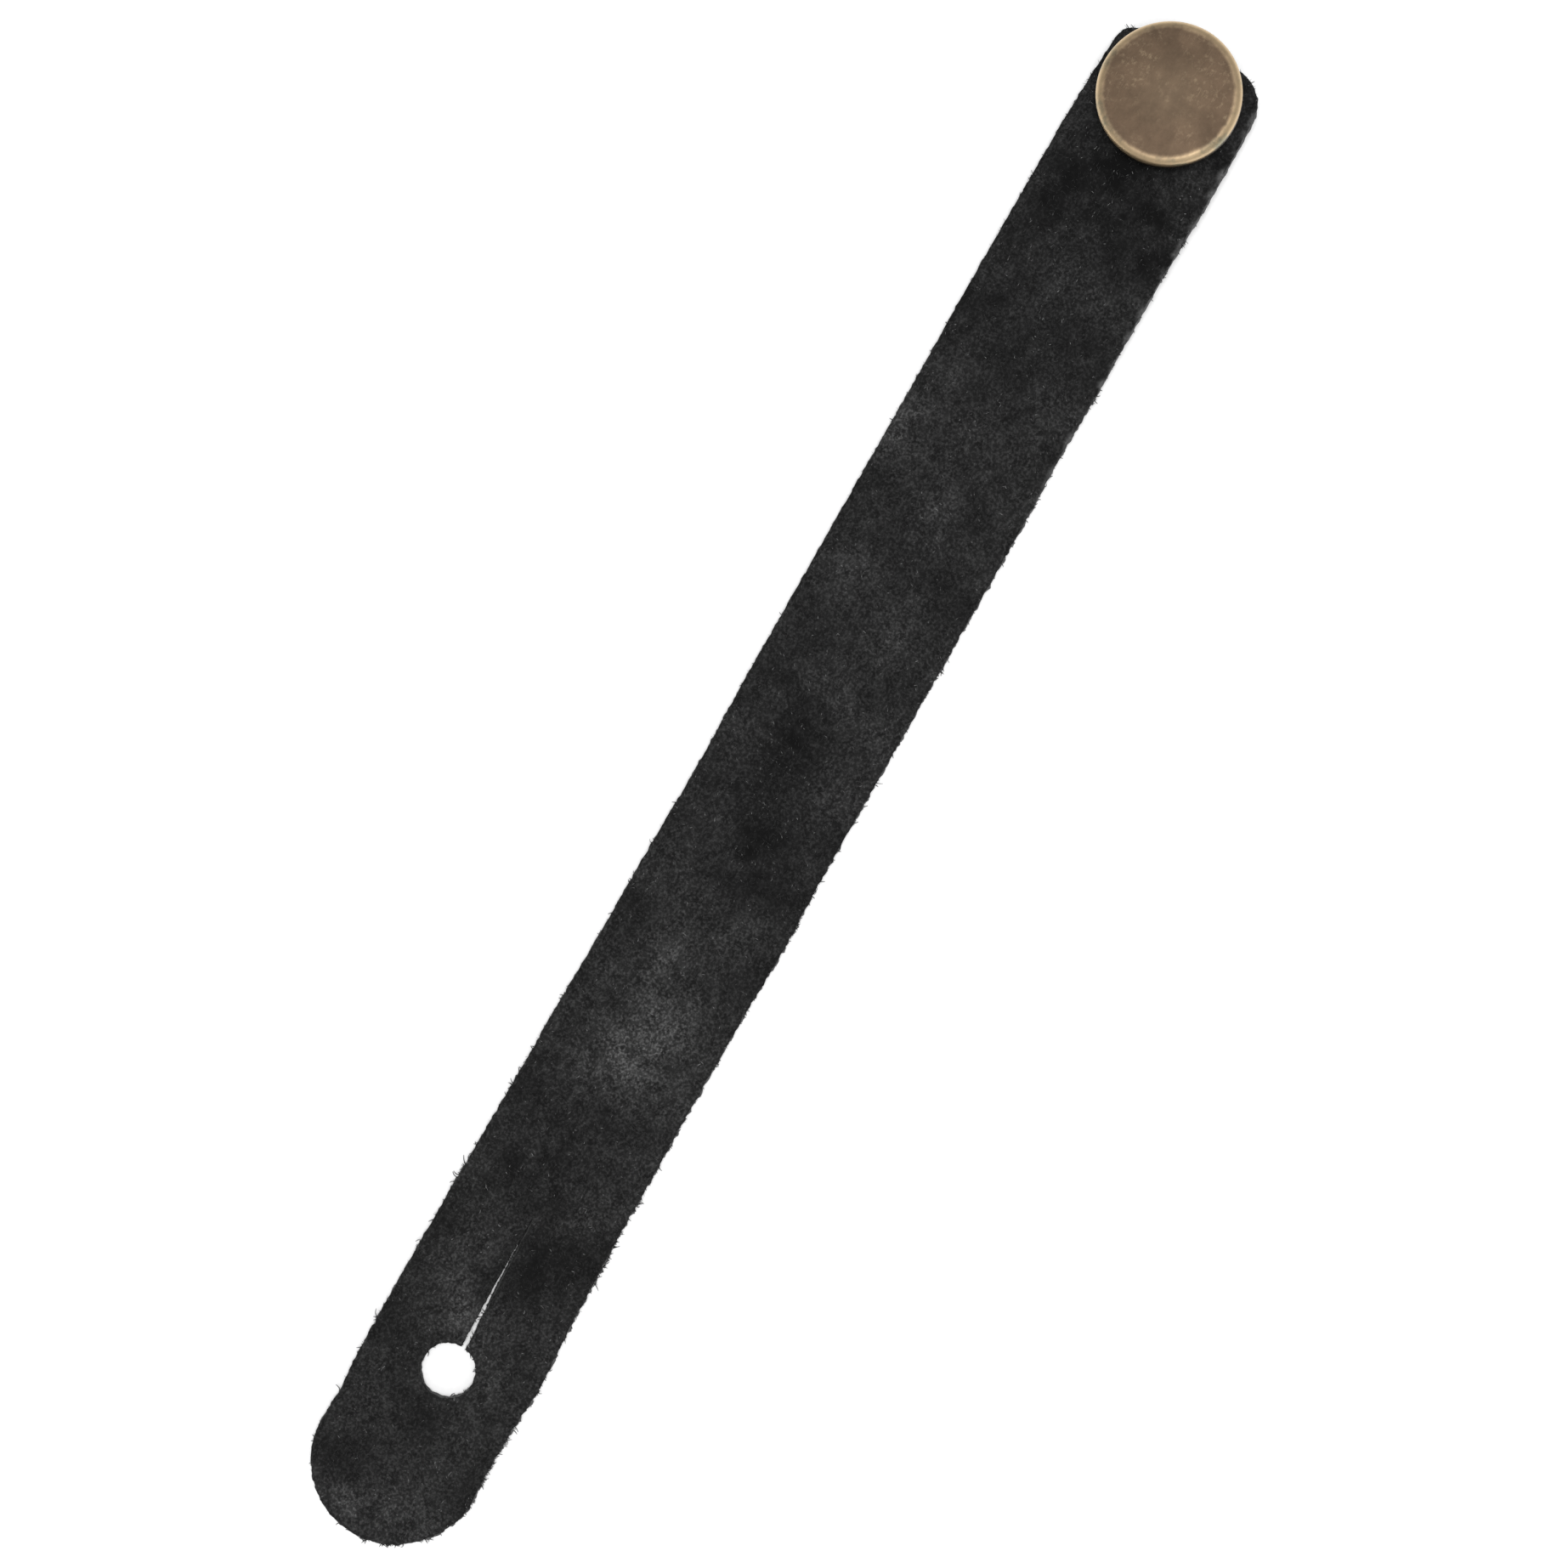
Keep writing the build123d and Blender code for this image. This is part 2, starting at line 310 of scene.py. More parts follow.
def outer_side(side):
    """The outline from the slot tip to the middle of the button end, along +Y (side 1) or -Y (side -1)."""
    shoulder = (tip_x + TIP_RADIUS, side * TIP_RADIUS)
    widest = (hole.x + hole_radius, side * bulge_half_width)
    bulge_end = (tip_x + TIP_RADIUS + BULGE_REACH, side * half_width)
    lean_back = math.sqrt(0.5) * TIP_RADIUS
    on_tip = (tip_x + TIP_RADIUS - lean_back, side * lean_back)
    corner = CORNER_RADII[side]
    corner_x = end_x - side * END_SLANT / 2 - corner
    corner_y = half_width - corner
    reach = corner * math.sqrt(0.5)
    points = arc((tip_x, 0), on_tip, shoulder)
    points += arc(shoulder, widest, bulge_end)
    points.append(bulge_end)
    points += arc(
        (corner_x, side * half_width),
        (corner_x + reach, side * (corner_y + reach)),
        (corner_x + corner, side * corner_y),
    )
    points += [(corner_x + corner, side * corner_y), (end_x, 0)]
    return points


def inner_side(side):
    """The line from the button end's middle back to the slot tip, round one side of the slit and hole."""
    lip_y = SLIT_MOUTH_Y + side * SLIT_MOUTH / 2
    drop = lip_y - hole.y
    mouth = Vector((hole.x + math.sqrt(hole_radius ** 2 - drop ** 2), lip_y))
    back = (hole.x - hole_radius, hole.y)
    slit_end = Vector((hole.x + hole_radius + SLIT_LENGTH, SLIT_END_Y))
    lip_end = slit_end + Vector((0, side * SLIT_END_WIDTH / 2))
    count = round(SLIT_LENGTH / OUTLINE_STEP)
    lip = [tuple(lip_end.lerp(mouth, i / count)) for i in range(count)]
    return [tuple(slit_end)] + lip + arc(tuple(mouth), (hole.x, hole.y + side * hole_radius), back) + [back]


# ------------------------------------------------------------------ the strap's mesh
def strap_face(mesh):
    """The napped face as two flat halves, with a worn corner along every cut edge."""
    for side in (1, -1):
        corners = [mesh.verts.new((*point, thickness)) for point in outer_side(side) + inner_side(side)]
        mesh.faces.new(corners)
    bmesh.ops.remove_doubles(mesh, verts=mesh.verts, dist=SAME_CORNER)
    halves = mesh.faces[:]
    for half in halves:
        half.normal_update()
        if half.normal.z < 0:
            half.normal_flip()
    turned = bmesh.ops.inset_region(mesh, faces=halves, thickness=EDGE_TURN, use_boundary=True)["faces"]
    bmesh.ops.inset_region(mesh, faces=halves, thickness=EDGE_EASE, use_boundary=True)
    rim = {vert for vert in mesh.verts if vert.is_boundary}
    eased = {vert for face in turned for vert in face.verts} - rim
    bmesh.ops.translate(mesh, verts=list(rim), vec=-EDGE_DROP * UP)
    bmesh.ops.translate(mesh, verts=list(eased), vec=-EASE_DROP * UP)


def cut_rows(mesh, direction, places):
    """Cuts the mesh along planes across one direction."""
    for place in places:
        everything = mesh.verts[:] + mesh.edges[:] + mesh.faces[:]
        bmesh.ops.bisect_plane(
            mesh, geom=everything, dist=ON_CUT, plane_co=direction * place, plane_no=direction
        )


def strap_shell():
    """The whole strap as one closed shell, still flat."""
    mesh = bmesh.new()
    strap_face(mesh)
    step = 2 * half_spacing / GRID_STEPS
    first = math.ceil((tip_x - seams[0]) / step)
    last = math.floor((end_x + END_SLANT - seams[0]) / step)
    cut_rows(mesh, ALONG, [seams[0] + i * step for i in range(first, last + 1)])
    rows = math.floor((half_width - EDGE_TURN - EDGE_EASE) / step)
    cut_rows(mesh, ACROSS, [(i + 0.5) * step for i in range(-rows, rows)])

    face = mesh.faces[:]
    edge_of_face = [edge for edge in mesh.edges if edge.is_boundary]
    back = bmesh.ops.duplicate(mesh, geom=mesh.verts[:] + mesh.edges[:] + face)["geom"]
    back_faces = [item for item in back if isinstance(item, bmesh.types.BMFace)]
    back_verts = [item for item in back if isinstance(item, bmesh.types.BMVert)]
    for vert in back_verts:
        vert.co.z = thickness - vert.co.z
    bmesh.ops.reverse_faces(mesh, faces=back_faces)

    wall = bmesh.ops.extrude_edge_only(mesh, edges=edge_of_face)["geom"]
    wall_verts = [item for item in wall if isinstance(item, bmesh.types.BMVert)]
    bmesh.ops.translate(mesh, verts=wall_verts, vec=-(thickness - 2 * EDGE_DROP) * UP)
    new_verts = set(wall_verts)
    uprights = [e for e in mesh.edges if sum(v in new_verts for v in e.verts) == 1]
    bmesh.ops.subdivide_edges(mesh, edges=uprights, cuts=WALL_ROWS - 1, use_grid_fill=True)
    bmesh.ops.remove_doubles(mesh, verts=mesh.verts, dist=SAME_CORNER)
    bmesh.ops.recalc_face_normals(mesh, faces=mesh.faces)
    return mesh


def raggedness(point):
    """How rough the strap was cut at a point of its edge."""
    if abs(point.y) < SLIT_EDGE_REACH and point.x > hole.x + hole_radius:
        return RAG_SLIT
    rough = smooth(-point.y, *RAG_ACROSS) * (1 - smooth(point.x, *RAG_ALONG))
    return RAG_EVEN + (RAG_ROUGH - RAG_EVEN) * rough


def nap_height(point, wall):
    """How far the nap stands out at a point of the flat strap: more on a cut edge, where it is torn."""
    tuft = noise.fractal(point / TUFT, TUFT_LOSS, TUFT_STEP, TUFT_OCTAVES)
    return tuft * NAP_RISE * (1 - wall) + (tuft - RAG_CUT_IN) * raggedness(point) * wall


def wander(point):
    """A point of the flat strap moved across it to where the uneven cut left it."""
    out = 0.0
    for side, x, reach, bump in EDGE_BUMPS:
        if side * point.y > 0:
            out += side * bump * math.exp(-(((point.x - x) / reach) ** 2))
    return point + ACROSS * out * min(abs(point.y) / half_width, 1.0) ** EDGE_ONLY


def knife_lean(point):
    """How far a point near the slit lies across: the knife leaned over, which closed the far half."""
    below = 1 - point.z / thickness
    from_hole = point.x - hole.x - hole_radius
    share = smooth(from_hole, 0, KNIFE_LEAN_RUN) * (1 - smooth(from_hole - SLIT_LENGTH, *KNIFE_FADE))
    return ACROSS * KNIFE_LEAN * below * share * math.exp(-((point.y / KNIFE_LEAN_WIDTH) ** 2))


def brushed_share(point):
    """How strongly the nap is brushed back, and so paler, at a point of the flat strap."""
    share = 0.0
    for x, y, reach_along, reach_across, strength in BRUSHED:
        away = ((point.x - x) / reach_along) ** 2 + ((point.y - y) / reach_across) ** 2
        share += strength * math.exp(-away)
    return share


def cut_share(point, wall):
    """How much a point of the flat strap shows the paler core: on its cut edges, less on the +Y one as painted
    shade, and where one is rubbed.
    """
    from_rim = (half_width + point.y) / RIM_WEAR_WIDTH
    uneven = RIM_WEAR_LEVEL + RIM_WEAR_DRIFT * noise.noise(point / CLUMP)
    rubbed = RIM_WEAR * uneven * smooth(point.x, *RIM_WEAR_ALONG) * math.exp(-from_rim * from_rim)
    # painted shade: the +Y cut edge shows only part of its paler core
    return max(wall * (1 if point.y < 0 else SHADED_CUT), rubbed)


def raise_nap(mesh):
    """Roughens the shell, ruffles its cut edges, beds it round the stud's neck, and lays it as it rests."""
    flat = mesh.verts.layers.float_vector.new("flat")
    cut_edge = mesh.verts.layers.float.new("cut_edge")
    brushed = mesh.verts.layers.float.new("brushed")
    mesh.normal_update()
    moved = []
    for vert in mesh.verts:
        wall = 1 - abs(vert.normal.z)
        vert[flat] = vert.co
        vert[cut_edge] = cut_share(vert.co, wall)
        vert[brushed] = brushed_share(vert.co)
        height = nap_height(vert.co, wall)
        from_stud = math.hypot(vert.co.x - stud_point.x, vert.co.y - stud_side)
        bed = BED_RISE * math.exp(-(((from_stud - BED_RADIUS) / BED_REACH) ** 2))
        out = vert.normal * height
        if vert.normal.z > FLAT_ENOUGH:
            out += bed * UP
        elif vert.normal.z < -FLAT_ENOUGH:
            out *= BACK_NAP
        moved.append(lie(wander(vert.co + out) + knife_lean(vert.co)))
    for vert, place in zip(mesh.verts, moved):
        vert.co = place


def part_of_shell(shell, low, high):
    """The stretch of the shell between two seams, closed at both, its closing faces left sharp."""
    part = shell.copy()
    outside = [face for face in part.faces if not low < face.calc_center_median().x < high]
    bmesh.ops.delete(part, geom=outside, context="FACES")
    for face in part.faces:
        face.smooth = True
    open_edges = [edge for edge in part.edges if edge.is_boundary]
    bmesh.ops.holes_fill(part, edges=open_edges, sides=0)
    for edge in open_edges:
        edge.smooth = False
    bmesh.ops.recalc_face_normals(part, faces=part.faces)
    return part


def finished_object(name, mesh, material):
    """Turns a bmesh in millimetres into an object in metres, its place in its mesh."""
    bmesh.ops.scale(mesh, vec=(MM, MM, MM), verts=mesh.verts)
    data = bpy.data.meshes.new(name)
    mesh.to_mesh(data)
    mesh.free()
    data.materials.append(material)
    piece = bpy.data.objects.new(name, data)
    bpy.context.scene.collection.objects.link(piece)
    return piece


# ------------------------------------------------------------------ loose fibres
def strand(rng, root, away, length, spans, curl):
    """The points of one fibre that leaves the leather at root and bends aside as it goes."""
    heading = away.normalized()
    bend = Vector([rng.uniform(-curl, curl) for _ in range(3)])
    points = [root - heading * FIBRE_ROOT]
    for _ in range(spans):
        point = points[-1] + heading * length / spans
        point.z = max(point.z, FIBRE_FLOOR)
        points.append(point)
        heading = (heading + bend).normalized()
    return points


def edge_fibres(rng, face, flat_place):
    """The fibres that stick out of one small face of a cut edge."""
    on_rough_side = flat_place.y < -SLIT_EDGE_REACH and flat_place.x < rise_end
    rough = FUZZ_ROUGH if on_rough_side else FUZZ_EVEN
    in_tuft = smooth(noise.noise(flat_place / TUFT_SPACING), *TUFT_BOUNDS)
    count = int(rough * in_tuft + rng.random() * (1 + FUZZ_STRAY * rough / FUZZ_ROUGH))
    fibres = []
    for _ in range(count):
        away = face.normal + Vector([rng.gauss(0, EDGE_FIBRE_STRAY) for _ in range(3)])
        length = min(rng.lognormvariate(math.log(FUZZ_LENGTH), FUZZ_LENGTH_SPREAD), FUZZ_LONGEST)
        root = face.calc_center_median()
        fibres.append(strand(rng, root, away, length, EDGE_FIBRE_SPANS, EDGE_FIBRE_CURL))
    return fibres


def face_fibres(rng, face):
    """The few fibres that lie over one small face of the nap."""
    fibres = []
    if rng.random() < NAP_FIBRE_SHARE:
        turn = rng.gauss(NAP_HEADING, NAP_HEADING_STRAY)
        lifted = face.normal * rng.uniform(*NAP_FIBRE_LIFTS)
        away = ALONG * math.cos(turn) + ACROSS * math.sin(turn) + lifted
        length = rng.uniform(*NAP_FIBRE_LENGTHS)
        fibres.append(strand(rng, face.calc_center_median(), away, length, NAP_FIBRE_SPANS, NAP_FIBRE_CURL))
    return fibres


def fibres_by_part(shell):
    """The loose fibres of each part of the strap, rooted where the shell lies at rest."""
    flat = shell.verts.layers.float_vector["flat"]
    strands = [[] for _ in bends]
    rng = random.Random(SEED)
    for face in shell.faces:
        part = sum(seam < face.calc_center_median().x for seam in seams)
        if abs(face.normal.z) < FLAT_ENOUGH:
            strands[part] += edge_fibres(rng, face, face.verts[0][flat])
        elif face.normal.z > 0:
            strands[part] += face_fibres(rng, face)
    return strands


def fibre_object(name, strands, material):
    """Thin tapering tubes along the strands, as one mesh object in metres."""
    curve = bpy.data.curves.new(name, "CURVE")
    curve.dimensions = "3D"
    curve.bevel_depth = EDGE_FIBRE_RADIUS * MM
    curve.bevel_resolution = 0
    curve.use_fill_caps = True
    for points in strands:
        on_edge = len(points) > NAP_FIBRE_SPANS + 1
        root_size = 1 if on_edge else NAP_FIBRE_RADIUS / EDGE_FIBRE_RADIUS
        spline = curve.splines.new("POLY")
        spline.points.add(len(points) - 1)
        for i, (knot, point) in enumerate(zip(spline.points, points)):
            knot.co = (*(point * MM), 1)
            knot.radius = root_size * (1 - FIBRE_TAPER * i / (len(points) - 1))
    drawn = bpy.data.objects.new(name + "_curve", curve)
    bpy.context.scene.collection.objects.link(drawn)
    bpy.context.view_layer.update()
    data = bpy.data.meshes.new_from_object(drawn)
    bpy.data.objects.remove(drawn)
    data.name = name
    data.materials.clear()
    data.materials.append(material)
    piece = bpy.data.objects.new(name, data)
    bpy.context.scene.collection.objects.link(piece)
    return piece


# ------------------------------------------------------------------ materials
def linear(hex_colour):
    """An sRGB hex colour as the linear values that a shader takes."""
    channels = [int(hex_colour[i:i + 2], 16) / 255 for i in (1, 3, 5)]
    return (*[c / 12.92 if c <= 0.04045 else ((c + 0.055) / 1.055) ** 2.4 for c in channels], 1.0)


def add(material, kind, inputs=None, stops=None, **settings):
    """Adds a node: settings are its properties, inputs its sockets' values or what is linked to them."""
    node = material.node_tree.nodes.new(kind)
    for name, value in settings.items():
        setattr(node, name, value)
    for name, value in (inputs or {}).items():
        if isinstance(value, bpy.types.NodeSocket):
            material.node_tree.links.new(value, node.inputs[name])
        else:
            node.inputs[name].default_value = value
    for i, (place, colour) in enumerate(stops or []):
        ramp = node.color_ramp
        element = ramp.elements[i] if i < 2 else ramp.elements.new(place)
        element.position = place
        element.color = colour
    return node


def new_material(name):
    """An empty node material."""
    material = bpy.data.materials.new(name)
    material.use_nodes = True
    material.node_tree.nodes.clear()
    return material


def finish_material(material, shader):
    """Sends a shader to the material's surface."""
    add(material, "ShaderNodeOutputMaterial", {"Surface": shader.outputs[0]})
    return material


def buffed_suede():
    """Split leather, dyed black in the drum and buffed on both faces: a matt, mottled nap that goes pale
    where it is brushed back, with a soft sheen at grazing angles and no highlight. Its cut edges show a
    paler, drier core."""
    material = new_material("suede_split_leather_drum_dyed")
    flat = add(material, "ShaderNodeAttribute", attribute_name="flat").outputs["Vector"]
    brushed = add(material, "ShaderNodeAttribute", attribute_name="brushed").outputs["Fac"]
    cut_edge = add(material, "ShaderNodeAttribute", attribute_name="cut_edge").outputs["Fac"]
    cloud = add(
        material, "ShaderNodeTexNoise", {"Vector": flat, "Scale": 1 / CLOUD, "Detail": 4.0, "Roughness": 0.6}
    )
    patch = add(
        material, "ShaderNodeTexNoise", {"Vector": flat, "Scale": 1 / PATCH, "Detail": 4.0, "Roughness": 0.6}
    )
    clump = add(
        material, "ShaderNodeTexNoise", {"Vector": flat, "Scale": 1 / CLUMP, "Detail": 3.0, "Roughness": 0.6}
    )
    grain = add(
        material, "ShaderNodeTexNoise", {"Vector": flat, "Scale": 1 / FLECK, "Detail": 3.0, "Roughness": 0.7}
    )
    flecks = add(
        material, "ShaderNodeMapRange", {"Value": grain.outputs["Fac"], "From Min": 0.46, "From Max": 0.76}
    )
    clumps = add(
        material,
        "ShaderNodeMapRange",
        {"Value": clump.outputs["Fac"], "From Min": 0.35, "From Max": 0.75, "To Min": 0.03, "To Max": 0.15},
    )
    even = add(
        material,
        "ShaderNodeMath",
        {0: flecks.outputs[0], 1: 0.42, 2: clumps.outputs[0]},
        operation="MULTIPLY_ADD",
    )
    drift = add(
        material, "ShaderNodeMath", {0: cloud.outputs["Fac"], 1: 2.6, 2: -0.42}, operation="MULTIPLY_ADD"
    )
    broken = add(
        material,
        "ShaderNodeMapRange",
        {"Value": patch.outputs["Fac"], "From Min": 0.36, "From Max": 0.62, "To Min": 0.6, "To Max": 5.6},
    )
    lift = add(
        material,
        "ShaderNodeMath",
        {0: brushed, 1: broken.outputs[0], 2: drift.outputs[0]},
        operation="MULTIPLY_ADD",
    )
    tone = add(
        material,
        "ShaderNodeMath",
        {0: even.outputs[0], 1: lift.outputs[0]},
        operation="MULTIPLY",
        use_clamp=True,
    )
    nap = add(
        material,
        "ShaderNodeMix",
        {0: tone.outputs[0], 6: linear(SUEDE_DARK), 7: linear(SUEDE_PALE)},
        data_type="RGBA",
    )
    cut = add(
        material,
        "ShaderNodeMapRange",
        {"Value": cut_edge, "From Min": 0.3, "From Max": 0.95},
        interpolation_type="SMOOTHSTEP",
    )
    core = add(
        material,
        "ShaderNodeMix",
        {0: grain.outputs["Fac"], 6: linear(SUEDE_CUT_DARK), 7: linear(SUEDE_CUT_PALE)},
        data_type="RGBA",
    )
    colour = add(
        material,
        "ShaderNodeMix",
        {0: cut.outputs[0], 6: nap.outputs[2], 7: core.outputs[2]},
        data_type="RGBA",
    )
    bump = add(
        material, "ShaderNodeBump", {"Height": grain.outputs["Fac"], "Strength": 0.6, "Distance": 0.15 * MM}
    )
    shader = add(
        material,
        "ShaderNodeBsdfPrincipled",
        {
            "Base Color": colour.outputs[2],
            "Normal": bump.outputs[0],
            "Roughness": 0.95,
            "Specular IOR Level": 0.05,
            "Sheen Weight": 0.03,
            "Sheen Roughness": 0.5,
            "Sheen Tint": linear("#8C8C8C"),
        },
    )
    return finish_material(material, shader)


def loose_fibres():
    """Collagen fibres pulled out of the same leather: most as black as the nap, a few undyed and pale."""
    material = new_material("suede_loose_fibres")
    place = add(material, "ShaderNodeTexCoord").outputs["Object"]
    which = add(material, "ShaderNodeTexNoise", {"Vector": place, "Scale": 1 / (LINT * MM), "Detail": 1.0})
    colour = add(
        material,
        "ShaderNodeValToRGB",
        {"Fac": which.outputs["Fac"]},
        stops=[(0.35, linear(FIBRE_DARK)), (0.62, linear(FIBRE_MID)), (0.76, linear(FIBRE_PALE))],
    )
    shader = add(
        material,
        "ShaderNodeBsdfPrincipled",
        {"Base Color": colour.outputs[0], "Roughness": 0.8, "Specular IOR Level": 0.2, "Sheen Weight": 0.1},
    )
    return finish_material(material, shader)


def stud_places(material):
    """Object coordinates in millimetres on the stud's own axis, and the distance from that axis."""
    place = add(material, "ShaderNodeTexCoord").outputs["Object"]
    on_stud = add(
        material,
        "ShaderNodeMapping",
        {"Vector": place, "Location": stud_point * MM, "Rotation": (-lean, 0, 0), "Scale": (MM, MM, MM)},
        vector_type="TEXTURE",
    ).outputs[0]
    level = add(material, "ShaderNodeVectorMath", {0: on_stud, 1: (1, 1, 0)}, operation="MULTIPLY")
    radius = add(
        material, "ShaderNodeVectorMath", {0: level.outputs[0]}, operation="LENGTH"
    ).outputs["Value"]
    return on_stud, radius


def antique_brass():
    """Drawn brass sheet, chemically aged brown and rubbed back on its high edge: a satin bronze face with
    faint blotches, pits and hair scratches in patches, a paler, shinier shoulder, and painted shade below it."""
    material = new_material("antique_brass_patinated")
    place, radius = stud_places(material)
    blotch = add(
        material,
        "ShaderNodeTexNoise",
        {"Vector": place, "Scale": 1 / BLOTCH, "Detail": 5.0, "Roughness": 0.65},
    )
    speck = add(
        material,
        "ShaderNodeTexNoise",
        {"Vector": place, "Scale": 1 / PIT, "Detail": 5.0, "Roughness": 0.75},
    )
    handled = add(
        material,
        "ShaderNodeTexNoise",
        {"Vector": place, "Scale": 1 / HANDLED, "Detail": 3.0, "Roughness": 0.7},
    )
    strokes = add(
        material,
        "ShaderNodeMapping",
        {
            "Vector": place,
            "Rotation": (0, 0, SCRATCH_TURN),
            "Scale": (1 / SCRATCH_LENGTH, 1 / SCRATCH_WIDTH, 1),
        },
    )
    scratch = add(
        material,
        "ShaderNodeTexNoise",
        {"Vector": strokes.outputs[0], "Scale": 1.0, "Detail": 3.0, "Roughness": 0.7},
    )
    patina = add(
        material,
        "ShaderNodeValToRGB",
        {"Fac": blotch.outputs["Fac"]},
        stops=[(0.34, linear(PATINA_DARK)), (0.66, linear(PATINA_PALE))],
    )
    specks = add(
        material,
        "ShaderNodeMapRange",
        {"Value": speck.outputs["Fac"], "From Min": 0.52, "From Max": 0.74, "To Max": 0.6},
    )
    hairs = add(
        material,
        "ShaderNodeMapRange",
        {"Value": scratch.outputs["Fac"], "From Min": 0.62, "From Max": 0.76, "To Max": 0.5},
    )
    marks = add(material, "ShaderNodeMath", {0: specks.outputs[0], 1: hairs.outputs[0]}, operation="ADD")
    where = add(
        material,
        "ShaderNodeMapRange",
        {"Value": handled.outputs["Fac"], "From Min": 0.44, "From Max": 0.62, "To Min": 0.06, "To Max": 0.8},
    )
    rubbed = add(
        material,
        "ShaderNodeMapRange",
        {"Value": radius, "From Min": RUBBED_RADIUS, "From Max": 0.0, "To Max": 0.11},
    )
    bare = add(
        material,
        "ShaderNodeMath",
        {0: marks.outputs[0], 1: where.outputs[0], 2: rubbed.outputs[0]},
        operation="MULTIPLY_ADD",
        use_clamp=True,
    )
    face = add(
        material,
        "ShaderNodeMix",
        {0: bare.outputs[0], 6: patina.outputs[0], 7: linear(BARE_BRASS)},
        data_type="RGBA",
    )
    edge = add(
        material,
        "ShaderNodeValToRGB",
        {"Fac": blotch.outputs["Fac"]},
        stops=[(0.36, linear(WORN_EDGE_DULL)), (0.5, linear(WORN_EDGE_BRIGHT))],
    )
    wobble = add(
        material, "ShaderNodeMath", {0: blotch.outputs["Fac"], 1: 0.8, 2: radius}, operation="MULTIPLY_ADD"
    )
    worn = add(
        material,
        "ShaderNodeMapRange",
        {"Value": wobble.outputs[0], "From Min": WORN_FROM, "From Max": WORN_TO},
        interpolation_type="SMOOTHSTEP",
    )
    rubbed_back = add(
        material,
        "ShaderNodeMix",
        {0: worn.outputs[0], 6: face.outputs[2], 7: edge.outputs[0]},
        data_type="RGBA",
    )
    # painted shade: the stud's colour goes dark towards its bottom, below the rim, where shade falls
    height = add(material, "ShaderNodeSeparateXYZ", {"Vector": place}).outputs["Z"]
    unshaded = add(
        material,
        "ShaderNodeMapRange",
        {"Value": height, "From Min": SHADE_TO, "From Max": UNSHADED_FROM},
        interpolation_type="SMOOTHSTEP",
    )
    colour = add(
        material,
        "ShaderNodeMix",
        {0: unshaded.outputs[0], 6: linear(PAINTED_SHADE_LOW), 7: rubbed_back.outputs[2]},
        data_type="RGBA",
    )
    roughness = add(
        material, "ShaderNodeMapRange", {"Value": worn.outputs[0], "To Min": 0.62, "To Max": 0.42}
    )
    relief = add(
        material,
        "ShaderNodeMath",
        {0: scratch.outputs["Fac"], 1: 0.5, 2: speck.outputs["Fac"]},
        operation="MULTIPLY_ADD",
    )
    bump = add(
        material, "ShaderNodeBump", {"Height": relief.outputs[0], "Strength": 0.3, "Distance": 0.04 * MM}
    )
    shader = add(
        material,
        "ShaderNodeBsdfPrincipled",
        {
            "Base Color": colour.outputs[2],
            "Roughness": roughness.outputs[0],
            "Normal": bump.outputs[0],
            "Metallic": 1.0,
        },
    )
    return finish_material(material, shader)


def moulded_plastic():
    """Injection-moulded natural nylon: an off-white, dull satin skin with a fine spark-eroded texture."""
    material = new_material("moulded_natural_nylon")
    place, _ = stud_places(material)
    texture = add(material, "ShaderNodeTexNoise", {"Vector": place, "Scale": 1 / MOULD_GRAIN, "Detail": 3.0})
    colour = add(
        material,
        "ShaderNodeValToRGB",
        {"Fac": texture.outputs["Fac"]},
        stops=[(0.35, linear("#DCDBD4")), (0.65, linear("#E4E3DC"))],
    )
    bump = add(
        material,
        "ShaderNodeBump",
        {"Height": texture.outputs["Fac"], "Strength": 0.4, "Distance": 0.02 * MM},
    )
    shader = add(
        material,
        "ShaderNodeBsdfPrincipled",
        {"Base Color": colour.outputs[0], "Roughness": 0.55, "Normal": bump.outputs[0]},
    )
    return finish_material(material, shader)


def headed_aluminium():
    """Cold-headed aluminium nail: bright grey metal with fine rings drawn round it by the header's die."""
    material = new_material("cold_headed_aluminium")
    place, radius = stud_places(material)
    grain = add(material, "ShaderNodeTexNoise", {"Vector": place, "Scale": 1 / NAIL_GRAIN, "Detail": 4.0})
    rings = add(material, "ShaderNodeMath", {0: radius, 1: math.tau / NAIL_RING}, operation="MULTIPLY")
    ripple = add(material, "ShaderNodeMath", {0: rings.outputs[0]}, operation="SINE")
    colour = add(
        material,
        "ShaderNodeValToRGB",
        {"Fac": grain.outputs["Fac"]},
        stops=[(0.3, linear("#9C9C9A")), (0.7, linear("#C4C4C2"))],
    )
    relief = add(
        material,
        "ShaderNodeMath",
        {0: ripple.outputs[0], 1: 0.2, 2: grain.outputs["Fac"]},
        operation="MULTIPLY_ADD",
    )
    bump = add(
        material, "ShaderNodeBump", {"Height": relief.outputs[0], "Strength": 0.3, "Distance": 0.02 * MM}
    )
    shader = add(
        material,
        "ShaderNodeBsdfPrincipled",
        {"Base Color": colour.outputs[0], "Roughness": 0.38, "Normal": bump.outputs[0], "Metallic": 1.0},
    )
    return finish_material(material, shader)


def floor_paper():
    """Matt white background paper: even and pale, with no highlight."""
    material = new_material("white_background_paper")
    place = add(material, "ShaderNodeTexCoord").outputs["Object"]
    tooth = add(
        material, "ShaderNodeTexNoise", {"Vector": place, "Scale": 1 / (PAPER_TOOTH * MM), "Detail": 2.0}
    )
    colour = add(
        material,
        "ShaderNodeValToRGB",
        {"Fac": tooth.outputs["Fac"]},
        stops=[(0.3, linear("#F5F5F5")), (0.7, linear("#F8F8F8"))],
    )
    shader = add(
        material,
        "ShaderNodeBsdfPrincipled",
        {"Base Color": colour.outputs[0], "Roughness": 1.0, "Specular IOR Level": 0.0},
    )
    return finish_material(material, shader)


